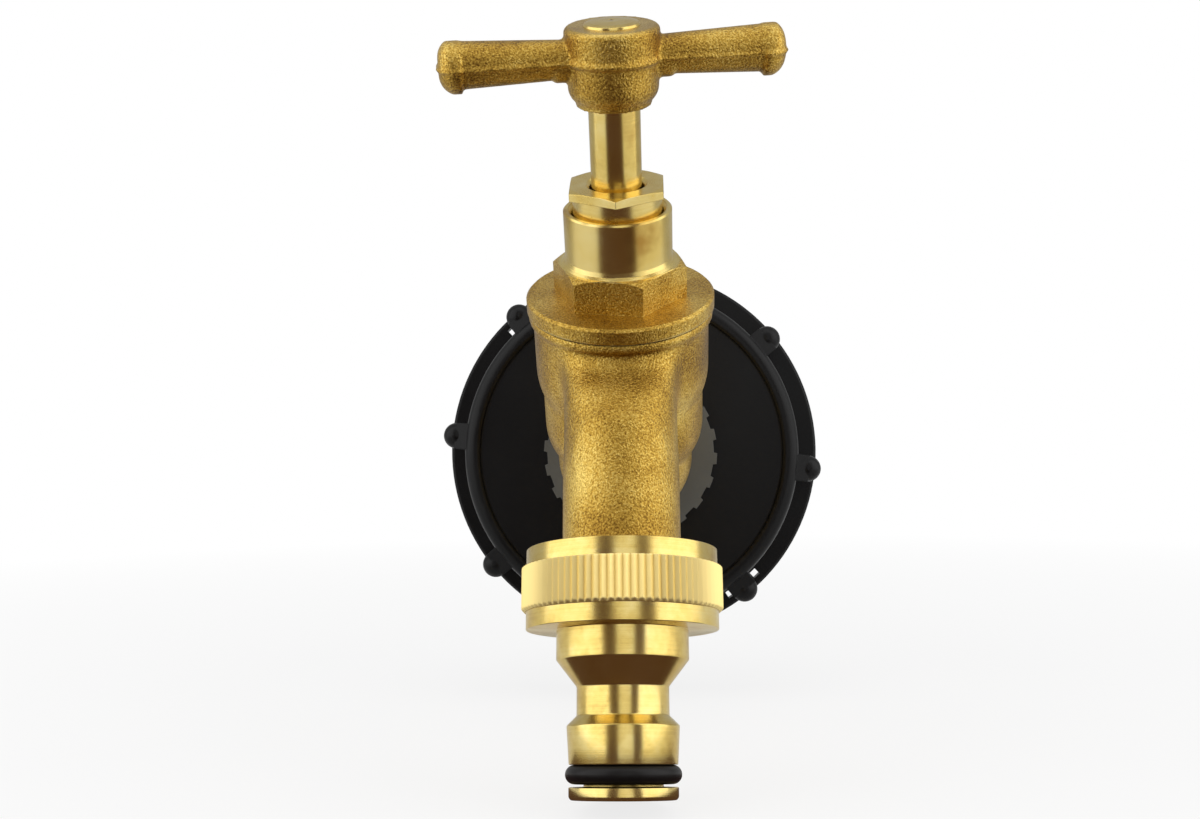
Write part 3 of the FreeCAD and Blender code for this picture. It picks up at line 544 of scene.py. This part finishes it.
# ---- Hose connector -------------------------------------------------------------------------------
# Turned from brass bar: a threaded socket with a knurled ring, a neck and a quick-fit nipple.
# Each corner is broken a little by the tool, and the knurl is a straight one.
KNURL_TEETH, SAMPLES = 84, 4
TOOTH = (0.0, 0.5, 1.0, 0.5)            # how deep each sample of a tooth is cut
KNURL_DEPTH, KNURL_BREAK, CORNER = 0.00042, 0.0005, 0.00016
PAST_MOUNT = 0.0011                     # the nipple goes on past its mount's place
nipple = next(m for m in frame["record"]["mounts"] if m["name"] == "hose_nipple")
end = (Vector(nipple["pos_m"]) - Vector(SPOUT)).length + PAST_MOUNT
SOCKET_R, SOCKET_T, SOCKET_FLOOR = 0.0106, 0.0349, 0.0253     # lengths back from the end
RING_R, KNURL_R = 0.01396, 0.01465
KNURL_TOP, KNURL_LOW, RING_LOW = 0.0323, 0.0259, 0.0234
NECK_R, NECK_LOW, WAIST_R, WAIST_TOP, WAIST_LOW = 0.00954, 0.0192, 0.0066, 0.01545, 0.01145
COLLAR_R, COLLAR_TOP, COLLAR_LOW_R, COLLAR_LOW = 0.00803, 0.01005, 0.0077, 0.00475
GROOVE_R, GROOVE_LOW, TIP_R, BORE_R = 0.0056, 0.00175, 0.00772, 0.0044
TIP_BREAK, TIP_END_R = 0.0004, 0.00742


def broken_corners(profile, radius, steps=3):
    """The closed profile with each corner replaced by a small arc."""
    points = []
    for i, corner in enumerate(profile):
        here = Vector(corner)
        back, ahead = Vector(profile[i - 1]) - here, Vector(profile[(i + 1) % len(profile)]) - here
        reach = min(radius, back.length / 3, ahead.length / 3)
        first, last = here + back.normalized() * reach, here + ahead.normalized() * reach
        for step in range(steps + 1):
            t = step / steps
            points.append(first.lerp(here, t).lerp(here.lerp(last, t), t))
    return points


def lathe(profile, steps):
    """A closed profile of (radius, height) turned about Z."""
    bm = bmesh.new()
    verts = [bm.verts.new((p[0], 0.0, p[1])) for p in profile]
    edges = [bm.edges.new((a, b)) for a, b in zip(verts, verts[1:] + verts[:1])]
    bmesh.ops.spin(bm, geom=edges + verts, cent=(0, 0, 0), axis=(0, 0, 1),
                   angle=math.tau, steps=steps, use_merge=True)
    return bm


outline = [(SOCKET_R, SOCKET_T), (RING_R, SOCKET_T), (RING_R, KNURL_TOP),
           (KNURL_R, KNURL_TOP), (KNURL_R, KNURL_LOW + KNURL_BREAK),
           (KNURL_R - KNURL_BREAK, KNURL_LOW), (RING_R, KNURL_LOW),
           (RING_R, RING_LOW), (NECK_R, RING_LOW), (NECK_R, NECK_LOW), (WAIST_R, WAIST_TOP),
           (WAIST_R, WAIST_LOW), (COLLAR_R, COLLAR_TOP), (COLLAR_LOW_R, COLLAR_LOW),
           (GROOVE_R, COLLAR_LOW), (GROOVE_R, GROOVE_LOW), (TIP_R, GROOVE_LOW), (TIP_R, TIP_BREAK),
           (TIP_END_R, 0.0),
           (BORE_R, 0.0), (BORE_R, SOCKET_FLOOR), (SOCKET_R, SOCKET_FLOOR)]
bm = lathe(broken_corners([(r, end - back) for r, back in outline], CORNER),
           KNURL_TEETH * SAMPLES)
for vert in bm.verts:
    radius = math.hypot(vert.co.x, vert.co.y)
    sample = round(math.atan2(vert.co.y, vert.co.x) / math.tau * KNURL_TEETH * SAMPLES)
    root = KNURL_R - KNURL_DEPTH * TOOTH[sample % SAMPLES]
    if radius > root:
        vert.co.x, vert.co.y = vert.co.x * root / radius, vert.co.y * root / radius
connector_brass = turned("connector_brass", SPOUT, SPOUT_TURN, 0.19, 0.26, 0.0, 1.0,
                         RING_R + 0.00005)
to_spout = Matrix.Translation(SPOUT) @ Matrix.Rotation(SPOUT_TURN[0], 4, "X")
bmesh.ops.transform(bm, matrix=to_spout, verts=bm.verts)
connector = add_piece("knurled_connector", bm, connector_brass, "connector",
                      28.0)
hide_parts("hose_connector")
dress("hose_connector", connector_brass)
dress("connector_washer", rubber)
dress("nipple_o_ring", moulded("nitrile_rubber", (0.005, 0.0036, 0.0032), 0.40, 0.00001, 0.0, 0.25))

# ---- Floor, light and camera --------------------------------------------------------------------------
# A white floor under the object in a white tent, with dark flags and bright cards about the
# viewer. They show only in reflections, and one lies on the floor in front of the object.
low = Vector(cad_box[0])
FLOOR_REACH, FLOOR_GAP, CARD_GAP, WHITE = 3.0, 0.0002, 0.0001, (0.92, 0.92, 0.92)
FADE, WHITENED = (0.10, 0.42), (0.80, 1.0)     # from where to where, and how much
bm = bmesh.new()
bmesh.ops.create_grid(bm, x_segments=8, y_segments=8, size=FLOOR_REACH,
                      matrix=Matrix.Translation((0.0, 0.0, low.z - FLOOR_GAP)))
floor_mesh = bpy.data.meshes.new("floor")
bm.to_mesh(floor_mesh)
bm.free()
floor = bpy.data.objects.new("floor", floor_mesh)
bpy.context.scene.collection.objects.link(floor)
paper, tree, at = new_material("white_paper")
near = make(tree, "VectorMath", {0: at}, operation="LENGTH").outputs["Value"]
seen = make(tree, "LightPath").outputs["Is Camera Ray"]
fade = calc(tree, "MULTIPLY", spread(tree, near, *FADE, *WHITENED), seen)
paper_skin = make(tree, "BsdfDiffuse", {"Color": (*WHITE, 1.0)})
plain = make(tree, "Emission", {"Color": (1.0, 1.0, 1.0, 1.0), "Strength": 1.0})
both = make(tree, "MixShader", {"Fac": fade})
tree.links.new(paper_skin.outputs["BSDF"], both.inputs[1])
tree.links.new(plain.outputs["Emission"], both.inputs[2])
make(tree, "OutputMaterial", {"Surface": both.outputs["Shader"]})
floor_mesh.materials.append(paper)

middle = Vector((0.0, -0.06, 0.0))


def towards(azimuth, elevation, reach):
    """A point seen from the object's middle; azimuth 0 is the viewer's side, plus is right."""
    a, e = math.radians(azimuth), math.radians(elevation)
    return middle + reach * Vector((math.sin(a) * math.cos(e), -math.cos(a) * math.cos(e),
                                    math.sin(e)))


def flag(name, azimuths, elevations, reach, colour):
    """A curved card that only reflections see."""
    bm = bmesh.new()
    rows = [[bm.verts.new(towards(az, el, reach)) for az in azimuths] for el in elevations]
    for upper, lower in zip(rows, rows[1:]):
        for i in range(len(azimuths) - 1):
            bm.faces.new((upper[i], upper[i + 1], lower[i + 1], lower[i]))
    show_only_in_reflections(name, bm, colour)


def show_only_in_reflections(name, bm, colour):
    """A glowing card hidden from the camera, from diffuse light and from shadows."""
    mesh = bpy.data.meshes.new(name)
    bm.to_mesh(mesh)
    bm.free()
    card = bpy.data.objects.new(name, mesh)
    bpy.context.scene.collection.objects.link(card)
    material, tree, at = new_material(name)
    glow = make(tree, "Emission", {"Color": (*colour, 1.0), "Strength": 1.0})
    make(tree, "OutputMaterial", {"Surface": glow.outputs["Emission"]})
    mesh.materials.append(material)
    card.visible_camera = card.visible_diffuse = card.visible_shadow = False
    card.visible_transmission = False


def span(low, high, count=9):
    """Even steps from low to high."""
    return [low + (high - low) * i / (count - 1) for i in range(count)]


DARK, PALE, BRIGHT = (0.09, 0.052, 0.045), (0.95, 0.95, 0.95), (1.5, 1.5, 1.5)
CARDS = (("flag_left", (-31, -8), (-16, 50), 0.55, DARK),
         ("flag_middle", (-8, 21), (-16, 50), 0.56, PALE),
         ("flag_right", (21, 39), (-16, 50), 0.55, DARK),
         ("card_left", (-100, -31), (-8, 62), 0.56, BRIGHT),
         ("card_right", (39, 105), (-8, 62), 0.56, BRIGHT))
for name, azimuths, elevations, reach, colour in CARDS:
    flag(name, span(*azimuths), span(*elevations), reach, colour)
bm = bmesh.new()
bm.faces.new([bm.verts.new((x, y, low.z - CARD_GAP)) for x, y in
              ((-0.045, -0.08), (-0.09, -0.16), (-0.33, -0.62), (0.28, -0.62),
               (0.08, -0.16), (0.045, -0.08))])
show_only_in_reflections("flag_on_floor", bm, DARK)

TENT = 0.42                             # the tent's light; the camera sees plain white
world = bpy.data.worlds.new("white_tent")
bpy.context.scene.world = world
world.use_nodes = True
tree = world.node_tree
tree.nodes.clear()
seen = make(tree, "LightPath").outputs["Is Camera Ray"]
sky = make(tree, "Background", {"Color": (1.0, 1.0, 1.0, 1.0),
                                "Strength": mixed(tree, seen, TENT, 1.0)})
tree.links.new(sky.outputs["Background"],
               tree.nodes.new("ShaderNodeOutputWorld").inputs["Surface"])


def softbox(name, azimuth, elevation, reach, size, watts):
    """A soft rectangular light that faces the object's middle."""
    light = bpy.data.lights.new(name, "AREA")
    light.shape, light.size, light.size_y = "RECTANGLE", size[0], size[1]
    light.energy = watts
    lamp = bpy.data.objects.new(name, light)
    lamp.location = towards(azimuth, elevation, reach)
    lamp.rotation_euler = (middle - lamp.location).to_track_quat("-Z", "Y").to_euler()
    bpy.context.scene.collection.objects.link(lamp)


softbox("softbox_left", -66, 26, 0.60, (0.50, 0.55), 1.25)
softbox("softbox_right", 70, 26, 0.60, (0.50, 0.55), 1.30)
softbox("softbox_top", 0, 80, 0.60, (0.50, 0.40), 0.60)

LENS, YAW, PITCH, ROLL = 37.65, 2.686, 1.404, 0.889
STAND = (0.005798, -0.273304, 0.002475)
lens = bpy.data.cameras.new("camera")
lens.lens, lens.sensor_width, lens.sensor_fit = LENS, 36.0, "HORIZONTAL"
lens.clip_start = 0.01
camera = bpy.data.objects.new("camera", lens)
camera.matrix_world = (
    Matrix.Translation(STAND)
    @ Matrix.Rotation(math.radians(YAW), 4, "Z") @ Matrix.Rotation(math.radians(PITCH), 4, "X")
    @ Matrix.Rotation(math.radians(ROLL), 4, "Y") @ Matrix.Rotation(math.pi / 2, 4, "X"))
bpy.context.scene.collection.objects.link(camera)
bpy.context.scene.camera = camera
bpy.context.scene.view_settings.view_transform = "Standard"
